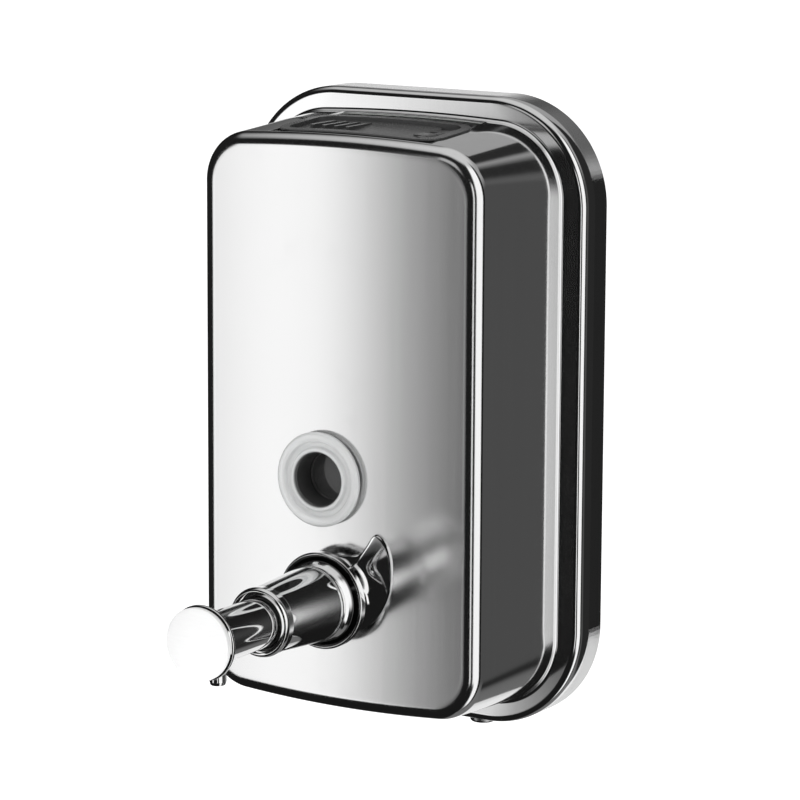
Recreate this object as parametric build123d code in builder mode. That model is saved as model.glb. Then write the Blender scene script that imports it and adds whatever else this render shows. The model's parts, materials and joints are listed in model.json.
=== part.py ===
# Wall mounted soap dispenser: a pressed steel cover over a plastic tank, a push pump
# that delivers from under its button, a round level window and a hinged filler lid.
#
# Millimetres. The wall is the plane Y = 0, the front looks along -Y, +Z is up and the
# origin is the middle of the wall plate's back. "Reach" is the distance from the wall.

import os

from build123d import *

# Cover: the front panel, the body behind it and the flange that meets the wall
front_width = 93.0
front_height = 161.8
front_corner = 14.0
back_corner = 21.5
front_edge = 5.3
front_bow = 1.2
edge_arch = 2.3
body_depth = 52.8
side_draft = 3.7
top_draft = 2.9
draft_end = 0.5
flange_width = 115.4
flange_height = 185.0
flange_depth = 13.0
flange_corner = 31.0
flange_edge = 2.4
cove_radius = 1.3
sheet = 0.8

# Wall plate, the strip that hangs on it and the screws that lock the cover down
plate_gap = 2.6
plate_thickness = 1.2
plate_top = 88.0
plate_side_gap = 2.4
plate_corner = 27.0
plate_window_width = 58.0
plate_window_height = 38.0
plate_window_corner = 8.0
plate_window_high = 22.0
plate_window_low = -34.0
plate_foot_radius = 11.0
middle_foot_radius = 7.0
screw_spacing_x = 62.0
screw_spacing_z = 126.0
screw_hole_radius = 2.5
hook_width = 12.0
hook_spacing = 34.0
hook_floor = 79.2
hook_height = 6.0
hanger_gap = 0.8
hanger_slack = 0.4
hanger_thickness = 1.2
hanger_width = 50.0
hanger_shelf = 5.4
tab_width = 66.0
tab_depth = 7.4
tab_gap = 2.6
lock_screw_spacing = 44.0
lock_screw_radius = 2.0
lock_screw_reach = 6.6
lock_head_radius = 3.8
lock_head_height = 1.6
lock_screw_end = 1.5
cross_length = 4.4
cross_width = 0.9

# Tank
tank_side_gap = 1.3
tank_top_gap = 3.0
tank_front_gap = 3.7
tank_back_reach = 8.0
tank_wall = 1.6
tank_corner = 16.0
tank_edge = 3.5
tank_lid_plug = 2.0
boss_gap = 0.3
boss_radius = 14.0

# Filler hatch and lid
hatch_x = 1.5
hatch_reach = 35.5
hatch_width = 51.6
hatch_depth = 23.6
hatch_corner = 6.0
hatch_fit = 0.2
hatch_lip = 1.4
hatch_lip_height = 0.4
hatch_wall = 1.2
hatch_floor = 5.5
hatch_floor_thickness = 1.2
throat_width = 42.0
throat_depth = 18.6
throat_shift = -3.0
throat_corner = 4.0
throat_wall = 1.2
throat_length = 6.0
filler_seal_thickness = 1.0
filler_seal_drop = 1.2
throat_seat = 1.4
lid_gap = 0.4
lid_recess = 0.6
lid_drop = 2.7
lid_hinge_corner = 3.4
lid_arm_overlap = 0.5
hinge_strip = 6.7
hinge_inset = 3.7
hinge_drop = 2.4
pin_radius = 1.0
pin_clearance = 0.05
knuckle_radius = 1.8
knuckle_gap = 0.3
ear_length = 3.1
rib_count = 4
rib_spacing = 4.0
rib_width = 1.1
rib_height = 0.7
rib_length = 13.0
rib_inset = 6.5
lid_seal_gap = 0.4
lid_seal_depth = 2.4
lid_seal_width = 2.0
clip_width = 6.0
clip_reach = 0.8
clip_height = 1.6

# Level window
window_x = -4.3
window_z = -15.5
window_radius = 13.8
window_shank = 9.4
window_bore = 7.5
window_proud = 3.2
window_pane_depth = 5.5
window_gasket_inset = 1.5
window_tail = 3.0
window_pane = 1.7
window_edge = 0.5
window_rim = ((0.9, 0.0), (0.2, 0.7), (0.0, 1.6), (0.2, 2.5), (1.4, 3.2))
window_lip = ((1.4, 2.0), (0.6, 1.4), (0.8, 0.5), (1.6, 0.0))
window_nut_radius = 13.6
window_seal_inset = 1.8
window_nut_height = 4.4
gasket_thickness = 0.8
hole_clearance = 0.25

# Pump
pump_z = -49.5
shank_radius = 8.5
cylinder_bore = 6.0
cylinder_length = 30.0
cylinder_rear_wall = 2.0
cylinder_proud = 16.0
cylinder_flange_radius = 13.0
cylinder_flange = 1.5
cap_plug = 4.0
cap_head = 1.5
stroke = 15.0
stroke_spare = 0.5
foot_height = 5.0
foot_sleeve = 10.8
foot_rim = 0.6
foot_arc_x = 1.9
foot_arc_z = 7.6
foot_arc_radius = 17.6
foot_tip_x = 14.5
foot_tip_z = 19.9
foot_notch_x = 9.9
foot_notch_z = 14.3
foot_low_x = 7.0
foot_low_z = -9.2
foot_ledge = 0.9
foot_band = 0.8
foot_waist = 3.6
foot_waist_reach = 1.5
foot_reach = 26.0
collar_radius = 14.1
collar_height = 3.0
collar_nose = 4.2
collar_bevel = 0.5
collar_face = ((0.4, 0.0), (0.0, 0.4), (0.0, 1.1), (0.5, 1.4), (-0.3, 1.9), (-0.3, 2.3))
collar_nose_start = 1.1
collar_nose_step = 0.2
collar_nose_inset = 0.7
barrel_bead = 11.3
barrel_bead_edge = ((0.0, 0.3), (0.3, 0.0), (0.8, 0.0))
barrel_bead_length = 1.2
barrel_floor_gap = 1.0
barrel_rear = 11.0
barrel_front = 9.6
barrel_length = 23.5
end_ring_radius = 10.0
end_ring_length = 4.0
end_ring_recess = 2.2
end_ring_back = ((0.2, 0.2), (0.5, 0.0))
end_ring_face = ((0.8, 0.0), (0.2, 0.3), (0.0, 0.8))
end_ring_dish = 0.3
bush_length = 8.0
sleeve_radius = 7.2
sleeve_bore = 6.5
bush_wall = 1.6
button_proud = 65.5
button_radius = 10.6
button_rim = 1.7
button_rim_edge = 0.5
cap_groove = 0.4
cap_groove_depth = 0.7
cap_edge_start = 0.6
cap_head_inset = 0.1
cap_radius = 10.3
cap_rim = 2.0
dome_height = 2.2
core_depth = 11.0
stem_radius = 3.5
stem_bore = 2.0
stem_channel = 1.4
stem_start = 20.0
stem_end_wall = 0.6
piston_radius = 5.7
piston_length = 5.5
seal_groove = 4.6
seal_width = 2.2
run_clearance = 0.05
spout_setback = 6.5
spout_radius = 2.35
spout_bore = 1.2
spout_drop = 13.4
spout_entry = 2.5
spout_edge = 0.5
spout_hole_spare = 1.0
spring_radius = 5.1
spring_wire = 0.9
spring_turns = 11
ball_radius = 1.7
ball_pocket = 1.95
ball_travel = 1.2
ball_seat_hole = 1.0
ball_rest = 1.15
ball_sink = 0.35
ball_slack = 0.3
ball_seat_depth = 3.4
seat_thickness = 1.5
valve_tail = 7.0
valve_tail_radius = 3.0
valve_shoulder = 4.6
shoulder_width = 1.4
cage_end = 0.9
cage_slot = 1.2
inlet_slot_length = 4.6
outlet_slot_length = 3.8
slot_depth = 3.0
pickup_start = 1.6
pickup_radius = 4.2
pickup_bend = 7.0
pickup_clearance = 2.4
pickup_bend_spare = 1.0

# Worked out from the values above
front_reach = body_depth + front_bow
window_pane_reach = front_reach - window_pane_depth
cylinder_front = front_reach + cylinder_proud
cylinder_rear = cylinder_front - cylinder_length
stem_rear = cylinder_rear + stem_start
button_reach = front_reach + button_proud
spout_reach = button_reach - spout_setback
sheet_back = front_reach - sheet
roof_rise = top_draft * (front_reach - hatch_reach) / (front_reach - flange_depth + draft_end)
roof = front_height / 2 + edge_arch + roof_rise
bow_radius = ((front_width / 2) ** 2 + front_bow**2) / (2 * front_bow)
tank_front_reach = front_reach - sheet - tank_front_gap
tank_inner = tank_front_reach - tank_wall
tank_width = front_width - 2 * (sheet + tank_side_gap)
tank_height = front_height - 2 * (sheet + tank_top_gap)
tank_top = tank_height / 2

tank_bottom_inner = -tank_top + tank_wall
floor_z = roof - hatch_floor
hatch_column = 20.0
hole_column = 9.0
throat_x = hatch_x + throat_shift
throat_reach = hatch_reach
lid_left = hatch_x - hatch_width / 2 + hatch_fit + hatch_wall + lid_gap
pocket_right = hatch_x + hatch_width / 2 - hatch_fit - hatch_wall
lid_right = pocket_right - hinge_strip
lid_length = hatch_depth - 2 * (hatch_fit + hatch_wall + lid_gap)
lid_bottom = roof - lid_drop
hinge_x = pocket_right - hinge_inset
hinge_z = roof - hinge_drop
piston_front = stem_rear + piston_length
cylinder_step = cylinder_front - cap_plug
collar_front = front_reach + foot_height + collar_height
barrel_start = collar_front + collar_nose
barrel_end = barrel_start + barrel_length
ring_end = barrel_end + end_ring_length
rim_front = button_reach + button_rim
bush_radius = sleeve_radius + bush_wall
barrel_floor = cylinder_front + cap_head + barrel_floor_gap
sleeve_rear = cylinder_front + cap_head + stroke + stroke_spare
core_start = button_reach - core_depth
stem_front = spout_reach + spout_radius + stem_end_wall
valve_rear = cylinder_rear - valve_tail
ball_seat = cylinder_rear - ball_seat_depth
outlet_seat_front = stem_rear + seat_thickness

pump_axis = Axis((0, 0, pump_z), (0, -1, 0))
window_axis = Axis((window_x, 0, window_z), (0, -1, 0))
pump_side = Plane(origin=(0, 0, pump_z), x_dir=(0, -1, 0), z_dir=(-1, 0, 0))
window_side = Plane(origin=(window_x, 0, window_z), x_dir=(0, -1, 0), z_dir=(-1, 0, 0))


def front_plane(reach, z=0.0):
    """Plane parallel to the wall, at a reach, looking out of the wall."""
    return Plane(origin=(0, -reach, z), x_dir=(1, 0, 0), z_dir=(0, -1, 0))


def band(start, end, inner, outer):
    """A ring's section: from one reach to another, between two radii."""
    with Locations(((start + end) / 2, (inner + outer) / 2)):
        Rectangle(end - start, outer - inner)


def half_disc(middle, radius):
    """A ball's section: half a disc beside the axis, centred at a reach."""
    with Locations((middle, 0)):
        Circle(radius)
    with Locations((middle, -radius)):
        Rectangle(2 * radius, 2 * radius, mode=Mode.SUBTRACT)


def outline(*points):
    """A closed section through points."""
    with BuildLine() as edge:
        Polyline(*points, close=True)
    make_face(edge.edges())


def arched_panel(width, height, arch):
    """A rectangle whose top and bottom edges bulge outwards."""
    w, h = width / 2, height / 2
    with BuildLine() as edge:
        Line((w, -h), (w, h))
        ThreePointArc((w, h), (0, h + arch), (-w, h))
        Line((-w, h), (-w, -h))
        ThreePointArc((-w, -h), (0, -h - arch), (w, -h))
    make_face(edge.edges())


def hatch_outline(grow):
    """The filler hatch's outline seen from above, made larger by grow."""
    with Locations((hatch_x, -hatch_reach)):
        RectangleRounded(hatch_width + 2 * grow, hatch_depth + 2 * grow, hatch_corner + grow)


def throat_outline(grow):
    """The filler throat's outline seen from above, made larger by grow."""
    with Locations((throat_x, -throat_reach)):
        RectangleRounded(throat_width + 2 * grow, throat_depth + 2 * grow, throat_corner + grow)


def tank_section(inset):
    """The tank's outline seen from the front, moved inwards by inset."""
    RectangleRounded(tank_width - 2 * inset, tank_height - 2 * inset, tank_corner - inset)


def cover_form(inset):
    """The cover as a solid block, with its skin moved inwards by inset."""
    bow = bow_radius - inset
    with BuildPart() as form:
        with BuildSketch(front_plane(front_reach - inset)) as near:
            arched_panel(front_width - 2 * inset, front_height - 2 * inset, edge_arch)
            fillet(near.vertices(), front_corner - inset)
        back_width = front_width + 2 * side_draft - 2 * inset
        back_height = front_height + 2 * top_draft - 2 * inset
        with BuildSketch(front_plane(flange_depth - inset - draft_end)) as far:
            arched_panel(back_width, back_height, edge_arch)
            fillet(far.vertices(), back_corner - inset)
        loft()
        with BuildSketch(Plane.XY.offset(-front_height)):
            with Locations((0, bow_radius - front_reach)):
                Circle(bow)
        extrude(amount=2 * front_height, mode=Mode.INTERSECT)
        fillet(form.faces().sort_by(Axis.Y)[0].edges(), front_edge - inset)
    with BuildPart() as flange:
        with BuildSketch(front_plane(0)):
            RectangleRounded(flange_width - 2 * inset, flange_height - 2 * inset, flange_corner - inset)
        extrude(amount=flange_depth - inset)
        fillet(flange.faces().sort_by(Axis.Y)[0].edges(), flange_edge - inset)
    with BuildPart() as whole:
        add(form.part)
        add(flange.part)
        face_reach = -(flange_depth - inset)
        root = whole.edges().filter_by_position(Axis.Y, face_reach - 0.01, face_reach + 0.01)
        body_root = [e for e in root if abs(e.center().X) < back_width / 2 + 0.5
                     and abs(e.center().Z) < back_height / 2 + edge_arch + 0.5]
        fillet(body_root, cove_radius + inset)
    return whole.part


def save(part, name):
    """Label a finished piece and write it."""
    part.label = name
    export_step(part, f"parts/{name}.step")


os.makedirs("parts", exist_ok=True)
outer_form = cover_form(0)
inner_form = cover_form(sheet)
lip_form = cover_form(-hatch_lip_height)
lid_form = cover_form(lid_recess)

# --- cover ---
with BuildPart() as cover:
    add(outer_form)
    add(inner_form, mode=Mode.SUBTRACT)
    with BuildSketch(Plane.XY.offset(floor_z)):
        hatch_outline(0)
    extrude(amount=hatch_column, mode=Mode.SUBTRACT)
    with BuildSketch(front_plane(front_reach - hole_column)):
        with Locations((window_x, window_z)):
            Circle(window_shank + hole_clearance)
        with Locations((0, pump_z)):
            Circle(shank_radius + hole_clearance)
    extrude(amount=2 * hole_column, mode=Mode.SUBTRACT)
    with BuildSketch(Plane.XY.offset(-flange_height / 2)):
        with Locations((0, -lock_screw_reach)):
            with GridLocations(lock_screw_spacing, 1, 2, 1):
                Circle(lock_screw_radius + hole_clearance)
    extrude(amount=sheet * 2, mode=Mode.SUBTRACT)
save(cover.part, "cover")

# --- strip inside the cover's top that hangs on the wall plate ---
hanger_reach = plate_gap + plate_thickness + hanger_gap
flange_roof = flange_height / 2 - sheet
hook_top = hook_floor + plate_thickness
with BuildPart() as hanger_strip:
    with BuildSketch(Plane.YZ.offset(-hanger_width / 2)):
        outline(
            (-hanger_reach, hook_top),
            (-hanger_reach, flange_roof),
            (-hanger_reach - hanger_shelf, flange_roof),
            (-hanger_reach - hanger_shelf, flange_roof - hanger_thickness),
            (-hanger_reach - hanger_thickness, flange_roof - hanger_thickness),
            (-hanger_reach - hanger_thickness, hook_top),
        )
    extrude(amount=hanger_width)
save(hanger_strip.part, "hanger_strip")

# --- wall plate: pressed feet against the wall, two hooks and the lock screws' tab ---
with BuildPart() as wall_plate:
    plate_width = flange_width - 2 * (sheet + plate_side_gap)
    plate_bottom = -flange_height / 2 + sheet + tab_gap
    plate_height = plate_top - plate_bottom
    plate_middle = (plate_top + plate_bottom) / 2
    with BuildSketch(front_plane(plate_gap, plate_middle)):
        RectangleRounded(plate_width, plate_height, plate_corner)
    extrude(amount=plate_thickness)
    with BuildSketch(front_plane(plate_gap)):
        with Locations((0, plate_window_high), (0, plate_window_low)):
            RectangleRounded(plate_window_width, plate_window_height, plate_window_corner)
    extrude(amount=plate_thickness, mode=Mode.SUBTRACT)
    with BuildSketch(front_plane(0)):
        with GridLocations(screw_spacing_x, screw_spacing_z, 2, 2):
            Circle(plate_foot_radius)
        Circle(middle_foot_radius)
    extrude(amount=plate_gap)
    with BuildSketch(front_plane(0)):
        with GridLocations(screw_spacing_x, screw_spacing_z, 2, 2):
            Circle(screw_hole_radius)
    extrude(amount=plate_gap + plate_thickness, mode=Mode.SUBTRACT)
    hook_reach = hanger_reach + hanger_thickness + hanger_slack
    for side in (-1, 1):
        hook_x = side * hook_spacing / 2 - hook_width / 2
        with BuildSketch(Plane.YZ.offset(hook_x)):
            outline(
                (-plate_gap, hook_floor),
                (-plate_gap, hook_top),
                (-hook_reach, hook_top),
                (-hook_reach, hook_top + hook_height),
                (-hook_reach - plate_thickness, hook_top + hook_height),
                (-hook_reach - plate_thickness, hook_floor),
            )
        extrude(amount=hook_width)
    with BuildSketch(Plane.XY.offset(plate_bottom)):
        with Locations((0, -plate_gap - tab_depth / 2)):
            Rectangle(tab_width, tab_depth)
    extrude(amount=plate_thickness)
    with BuildSketch(Plane.XY.offset(plate_bottom)):
        with Locations((0, -lock_screw_reach)):
            with GridLocations(lock_screw_spacing, 1, 2, 1):
                Circle(lock_screw_radius)
    extrude(amount=plate_thickness, mode=Mode.SUBTRACT)
save(wall_plate.part, "wall_plate")

# --- two screws that lock the cover to the plate's tab from below ---
with BuildPart() as lock_screws:
    with BuildSketch(Plane.XY.offset(-flange_height / 2)):
        with Locations((0, -lock_screw_reach)):
            with GridLocations(lock_screw_spacing, 1, 2, 1):
                Circle(lock_head_radius)
    extrude(amount=-lock_head_height)
    fillet(lock_screws.faces().sort_by(Axis.Z)[:2].edges(), lock_head_height / 2)
    with BuildSketch(Plane.XY.offset(-flange_height / 2)):
        with Locations((0, -lock_screw_reach)):
            with GridLocations(lock_screw_spacing, 1, 2, 1):
                Circle(lock_screw_radius)
    extrude(amount=sheet + tab_gap + plate_thickness + lock_screw_end)
    with BuildSketch(Plane.XY.offset(-flange_height / 2 - lock_head_height)):
        with Locations((0, -lock_screw_reach)):
            with GridLocations(lock_screw_spacing, 1, 2, 1):
                Rectangle(cross_length, cross_width)
                Rectangle(cross_width, cross_length)
    extrude(amount=cross_width, mode=Mode.SUBTRACT)
save(lock_screws.part, "lock_screws")

# --- tank: a deep front shell and a welded back ---
with BuildPart() as tank_space:
    with BuildSketch(front_plane(tank_back_reach + tank_wall)):
        tank_section(tank_wall)
    extrude(amount=tank_inner - tank_back_reach - tank_wall)
    fillet(tank_space.faces().sort_by(Axis.Y)[0].edges(), tank_edge - tank_wall)

with BuildPart() as tank_front:
    with BuildSketch(front_plane(tank_back_reach + tank_wall)):
        tank_section(0)
    extrude(amount=tank_front_reach - tank_back_reach - tank_wall)
    fillet(tank_front.faces().sort_by(Axis.Y)[0].edges(), tank_edge)
    with BuildSketch(front_plane(tank_front_reach - tank_wall)):
        with Locations((window_x, window_z), (0, pump_z)):
            Circle(boss_radius)
    extrude(amount=sheet_back - boss_gap - tank_front_reach + tank_wall)
    add(tank_space.part, mode=Mode.SUBTRACT)
    with BuildSketch(Plane.XY.offset(tank_top - tank_wall - filler_seal_thickness - throat_seat)):
        throat_outline(filler_seal_thickness + tank_wall)
    extrude(amount=tank_wall + filler_seal_thickness + throat_seat)
    with BuildSketch(Plane.XY.offset(tank_top - hatch_column)):
        throat_outline(filler_seal_thickness)
    extrude(amount=2 * hatch_column, mode=Mode.SUBTRACT)
    with BuildSketch(front_plane(tank_inner - hole_column)):
        with Locations((window_x, window_z)):
            Circle(window_shank + hole_clearance)
        with Locations((0, pump_z)):
            Circle(shank_radius + hole_clearance)
    extrude(amount=2 * hole_column, mode=Mode.SUBTRACT)
save(tank_front.part, "tank_front")

with BuildPart() as tank_back:
    with BuildSketch(front_plane(tank_back_reach)):
        tank_section(0)
    extrude(amount=tank_wall)
    with BuildSketch(front_plane(tank_back_reach + tank_wall)):
        tank_section(tank_wall)
    extrude(amount=tank_lid_plug)
    with BuildSketch(front_plane(tank_back_reach + tank_wall)):
        tank_section(2 * tank_wall)
    extrude(amount=tank_lid_plug, mode=Mode.SUBTRACT)
save(tank_back.part, "tank_back")

with BuildPart() as filler_seal:
    with BuildSketch(Plane.XY.offset(tank_top - tank_wall - filler_seal_drop)):
        throat_outline(filler_seal_thickness)
    extrude(amount=tank_wall + filler_seal_drop)
    with BuildSketch(Plane.XY.offset(tank_top - tank_wall - filler_seal_drop)):
        throat_outline(0)
    extrude(amount=tank_wall + filler_seal_drop, mode=Mode.SUBTRACT)
save(filler_seal.part, "filler_seal")

# --- filler hatch: a tray clipped into the cover, with a throat into the tank ---
with BuildPart() as lip:
    with BuildSketch(Plane.XY.offset(floor_z)):
        hatch_outline(hatch_lip)
    extrude(amount=hatch_column)
    add(lip_form, mode=Mode.INTERSECT)
    add(outer_form, mode=Mode.SUBTRACT)

ear_pitch = (lid_length + 2 * lid_gap - ear_length) / 2
with BuildPart() as hatch_frame:
    with BuildSketch(Plane.XY.offset(floor_z)):
        hatch_outline(-hatch_fit)
    extrude(amount=hatch_column)
    add(lip_form, mode=Mode.INTERSECT)
    add(lip.part)
    with BuildSketch(Plane.XY.offset(floor_z + hatch_floor_thickness)):
        hatch_outline(-hatch_fit - hatch_wall)
    extrude(amount=hatch_column, mode=Mode.SUBTRACT)
    with BuildSketch(Plane.XY.offset(floor_z - throat_length)):
        throat_outline(0)
    extrude(amount=throat_length)
    with BuildSketch(Plane.XY.offset(floor_z)):
        for side in (-1, 1):
            with Locations((hatch_x, -hatch_reach + side * (hatch_depth / 2 - hatch_fit))):
                with GridLocations(hatch_width / 2, 1, 2, 1):
                    Rectangle(clip_width, 2 * clip_reach)
    extrude(amount=clip_height)
    for side in (-1, 0, 1):
        with BuildSketch(Plane.XZ.offset(hatch_reach + side * ear_pitch - ear_length / 2)):
            with Locations((hinge_x, hinge_z)):
                Circle(knuckle_radius)
            with Locations(((hinge_x + pocket_right) / 2, (floor_z + hinge_z) / 2)):
                Rectangle(pocket_right - hinge_x, hinge_z - floor_z)
        extrude(amount=ear_length)
    with BuildSketch(Plane.XZ.offset(hatch_reach - hatch_depth / 2)):
        with Locations((hinge_x, hinge_z)):
            Circle(pin_radius)
    extrude(amount=hatch_depth - hatch_wall, mode=Mode.SUBTRACT)
    with BuildSketch(Plane.XY.offset(floor_z - throat_length)):
        throat_outline(-throat_wall)
    extrude(amount=throat_length + hatch_floor_thickness, mode=Mode.SUBTRACT)
save(hatch_frame.part, "hatch_frame")

with BuildPart() as hinge_pin:
    with BuildSketch(Plane.XZ.offset(hatch_reach - hatch_depth / 2 + hatch_fit)):
        with Locations((hinge_x, hinge_z)):
            Circle(pin_radius)
    extrude(amount=hatch_depth - 2 * hatch_fit - hatch_wall)
save(hinge_pin.part, "hinge_pin")

# --- lid: a shallow plate with grip ribs, two knuckles on the pin, and a plug seal ---
lid_width = lid_right - lid_left
knuckle_length = ear_pitch - ear_length - 2 * knuckle_gap
with BuildPart() as hatch_lid:
    with BuildSketch(Plane.XY.offset(lid_bottom)) as lid_outline:
        with Locations(((lid_left + lid_right) / 2, -hatch_reach)):
            Rectangle(lid_width, lid_length)
        fillet(lid_outline.vertices().group_by(Axis.X)[0], hatch_corner - hatch_fit - hatch_wall - lid_gap)
        fillet(lid_outline.vertices().group_by(Axis.X)[-1], lid_hinge_corner)
    extrude(amount=hatch_column)
    add(lid_form, mode=Mode.INTERSECT)
    with BuildSketch(Plane.XY.offset(lid_bottom)):
        with Locations((lid_left + rib_inset, -hatch_reach)):
            for index in range(rib_count):
                with Locations((index * rib_spacing, 0)):
                    SlotOverall(rib_length, rib_width, rotation=90)
    extrude(amount=roof - lid_recess + rib_height - lid_bottom)
    for side in (-1, 1):
        with BuildSketch(Plane.XZ.offset(hatch_reach + side * ear_pitch / 2 - knuckle_length / 2)):
            with Locations((hinge_x, hinge_z)):
                Circle(knuckle_radius)
            with Locations(((hinge_x + lid_right - lid_arm_overlap) / 2, hinge_z + knuckle_radius / 2)):
                Rectangle(hinge_x - lid_right + lid_arm_overlap, knuckle_radius)
        extrude(amount=knuckle_length)
    with BuildSketch(Plane.XZ.offset(hatch_reach - hatch_depth / 2)):
        with Locations((hinge_x, hinge_z)):
            Circle(pin_radius + pin_clearance)
    extrude(amount=hatch_depth, mode=Mode.SUBTRACT)
save(hatch_lid.part, "hatch_lid")

with BuildPart() as lid_seal:
    with BuildSketch(Plane.XY.offset(lid_bottom - lid_seal_depth)):
        throat_outline(-throat_wall - lid_seal_gap)
    extrude(amount=lid_seal_depth)
    with BuildSketch(Plane.XY.offset(lid_bottom - lid_seal_depth)):
        throat_outline(-throat_wall - lid_seal_gap - lid_seal_width)
    extrude(amount=lid_seal_depth, mode=Mode.SUBTRACT)
save(lid_seal.part, "lid_seal")

# --- level window: a clear stepped cup screwed through cover and tank ---
window_front = front_reach + window_proud
gasket_front = front_reach + gasket_thickness
with BuildPart() as window_lens:
    with BuildSketch(window_side):
        outline(
            (window_pane_reach - window_pane - window_tail, window_shank),
            (gasket_front, window_shank),
            (gasket_front, window_radius - window_edge),
            (gasket_front + window_edge, window_radius),
            *[(window_front - drop, window_radius - step) for drop, step in window_rim],
            *[(window_front - drop, window_bore + step) for drop, step in window_lip],
            (window_pane_reach, window_bore),
            (window_pane_reach, 0),
            (window_pane_reach - window_pane, 0),
            (window_pane_reach - window_pane, window_bore),
            (window_pane_reach - window_pane - window_tail, window_bore),
        )
    revolve(axis=window_axis)
save(window_lens.part, "window_lens")

with BuildPart() as window_gasket:
    with BuildSketch(window_side):
        band(front_reach, gasket_front, window_shank, window_radius - window_gasket_inset)
    revolve(axis=window_axis)
save(window_gasket.part, "window_gasket")

with BuildPart() as window_seal:
    with BuildSketch(window_side):
        band(tank_inner - gasket_thickness, tank_inner, window_shank, window_nut_radius - window_seal_inset)
    revolve(axis=window_axis)
save(window_seal.part, "window_seal")

with BuildPart() as window_nut:
    with BuildSketch(front_plane(tank_inner - gasket_thickness - window_nut_height, window_z)):
        with Locations((window_x, 0)):
            RegularPolygon(window_nut_radius, 6)
            Circle(window_shank, mode=Mode.SUBTRACT)
    extrude(amount=window_nut_height)
save(window_nut.part, "window_nut")

# --- pump: flared foot and locking collar on the cover ---
foot_back = front_reach - front_bow / 2
foot_skirt = foot_back + foot_rim
foot_front = front_reach + foot_height
with BuildPart() as pump_foot:
    with BuildSketch(pump_side):
        with BuildLine():
            Polyline(
                (foot_back, foot_reach),
                (foot_back, shank_radius),
                (foot_front, shank_radius),
                (foot_front, foot_sleeve),
            )
            Line((foot_front, foot_sleeve), (foot_front - foot_band, foot_sleeve))
            ThreePointArc(
                (foot_front - foot_band, foot_sleeve),
                (front_reach + foot_waist_reach, foot_sleeve + foot_waist),
                (foot_skirt, foot_reach),
            )
            Line((foot_skirt, foot_reach), (foot_back, foot_reach))
        make_face()
    revolve(axis=pump_axis)
    with BuildSketch(front_plane(front_reach - front_bow, pump_z)):
        with BuildLine() as wing:
            arc_side = (foot_arc_x + foot_arc_radius, foot_arc_z)
            ThreePointArc((foot_low_x, foot_low_z), arc_side, (foot_tip_x, foot_tip_z))
            notch = (foot_notch_x, foot_notch_z)
            ThreePointArc((foot_tip_x, foot_tip_z), notch, (0, foot_sleeve + foot_ledge))
            Line((0, foot_sleeve + foot_ledge), (foot_low_x, foot_low_z))
        make_face(wing.edges())
        Circle(foot_sleeve + foot_ledge)
    extrude(amount=2 * foot_height, mode=Mode.INTERSECT)
    add(outer_form, mode=Mode.SUBTRACT)
save(pump_foot.part, "pump_foot")

with BuildPart() as pump_collar:
    with BuildSketch(pump_side):
        outline(
            (foot_front, shank_radius),
            (foot_front, collar_radius - collar_bevel),
            (foot_front + collar_bevel, collar_radius),
            *[(collar_front - drop, collar_radius - step) for drop, step in collar_face],
            (collar_front + collar_nose_start, barrel_bead - collar_nose_step),
            (barrel_start, barrel_bead - collar_nose_inset),
            (barrel_start, shank_radius),
        )
    revolve(axis=pump_axis)
save(pump_collar.part, "pump_collar")

# --- pump barrel, its end ring and the bush that guides the plunger ---
with BuildPart() as pump_barrel:
    with BuildSketch(pump_side):
        outline(
            (barrel_start, shank_radius),
            *[(barrel_start + rise, barrel_bead - step) for rise, step in barrel_bead_edge],
            (barrel_start + barrel_bead_length, barrel_rear),
            (barrel_end, barrel_front),
            (barrel_end, bush_radius),
            (barrel_floor, bush_radius),
            (barrel_floor, shank_radius),
        )
    revolve(axis=pump_axis)
save(pump_barrel.part, "pump_barrel")

with BuildPart() as barrel_end_ring:
    with BuildSketch(pump_side):
        outline(
            (barrel_end, bush_radius),
            (barrel_end, barrel_front),
            *[(barrel_end + rise, end_ring_radius - step) for rise, step in end_ring_back],
            *[(ring_end - drop, end_ring_radius - step) for drop, step in end_ring_face],
            (ring_end - end_ring_dish, bush_radius),
        )
    revolve(axis=pump_axis)
save(barrel_end_ring.part, "barrel_end_ring")

with BuildPart() as barrel_bush:
    with BuildSketch(pump_side):
        band(ring_end - end_ring_recess - bush_length, ring_end - end_ring_recess,
             sleeve_radius + run_clearance, bush_radius)
    revolve(axis=pump_axis)
save(barrel_bush.part, "barrel_bush")

# --- pump cylinder, inside the tank and through the cover ---
with BuildPart() as pump_cylinder:
    with BuildSketch(pump_side):
        band(cylinder_rear, cylinder_front, cylinder_bore, shank_radius)
        band(cylinder_rear, cylinder_rear + cylinder_rear_wall, valve_tail_radius, shank_radius)
        band(tank_inner - gasket_thickness - cylinder_flange, tank_inner - gasket_thickness,
             cylinder_bore, cylinder_flange_radius)
    revolve(axis=pump_axis)
save(pump_cylinder.part, "pump_cylinder")

with BuildPart() as pump_seal:
    with BuildSketch(pump_side):
        band(tank_inner - gasket_thickness, tank_inner, shank_radius, cylinder_flange_radius)
    revolve(axis=pump_axis)
save(pump_seal.part, "pump_seal")

with BuildPart() as cylinder_cap:
    with BuildSketch(pump_side):
        band(cylinder_step, cylinder_front, stem_radius + run_clearance, cylinder_bore)
        band(cylinder_front, cylinder_front + cap_head, stem_radius + run_clearance,
             shank_radius - cap_head_inset)
    revolve(axis=pump_axis)
save(cylinder_cap.part, "cylinder_cap")

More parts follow.
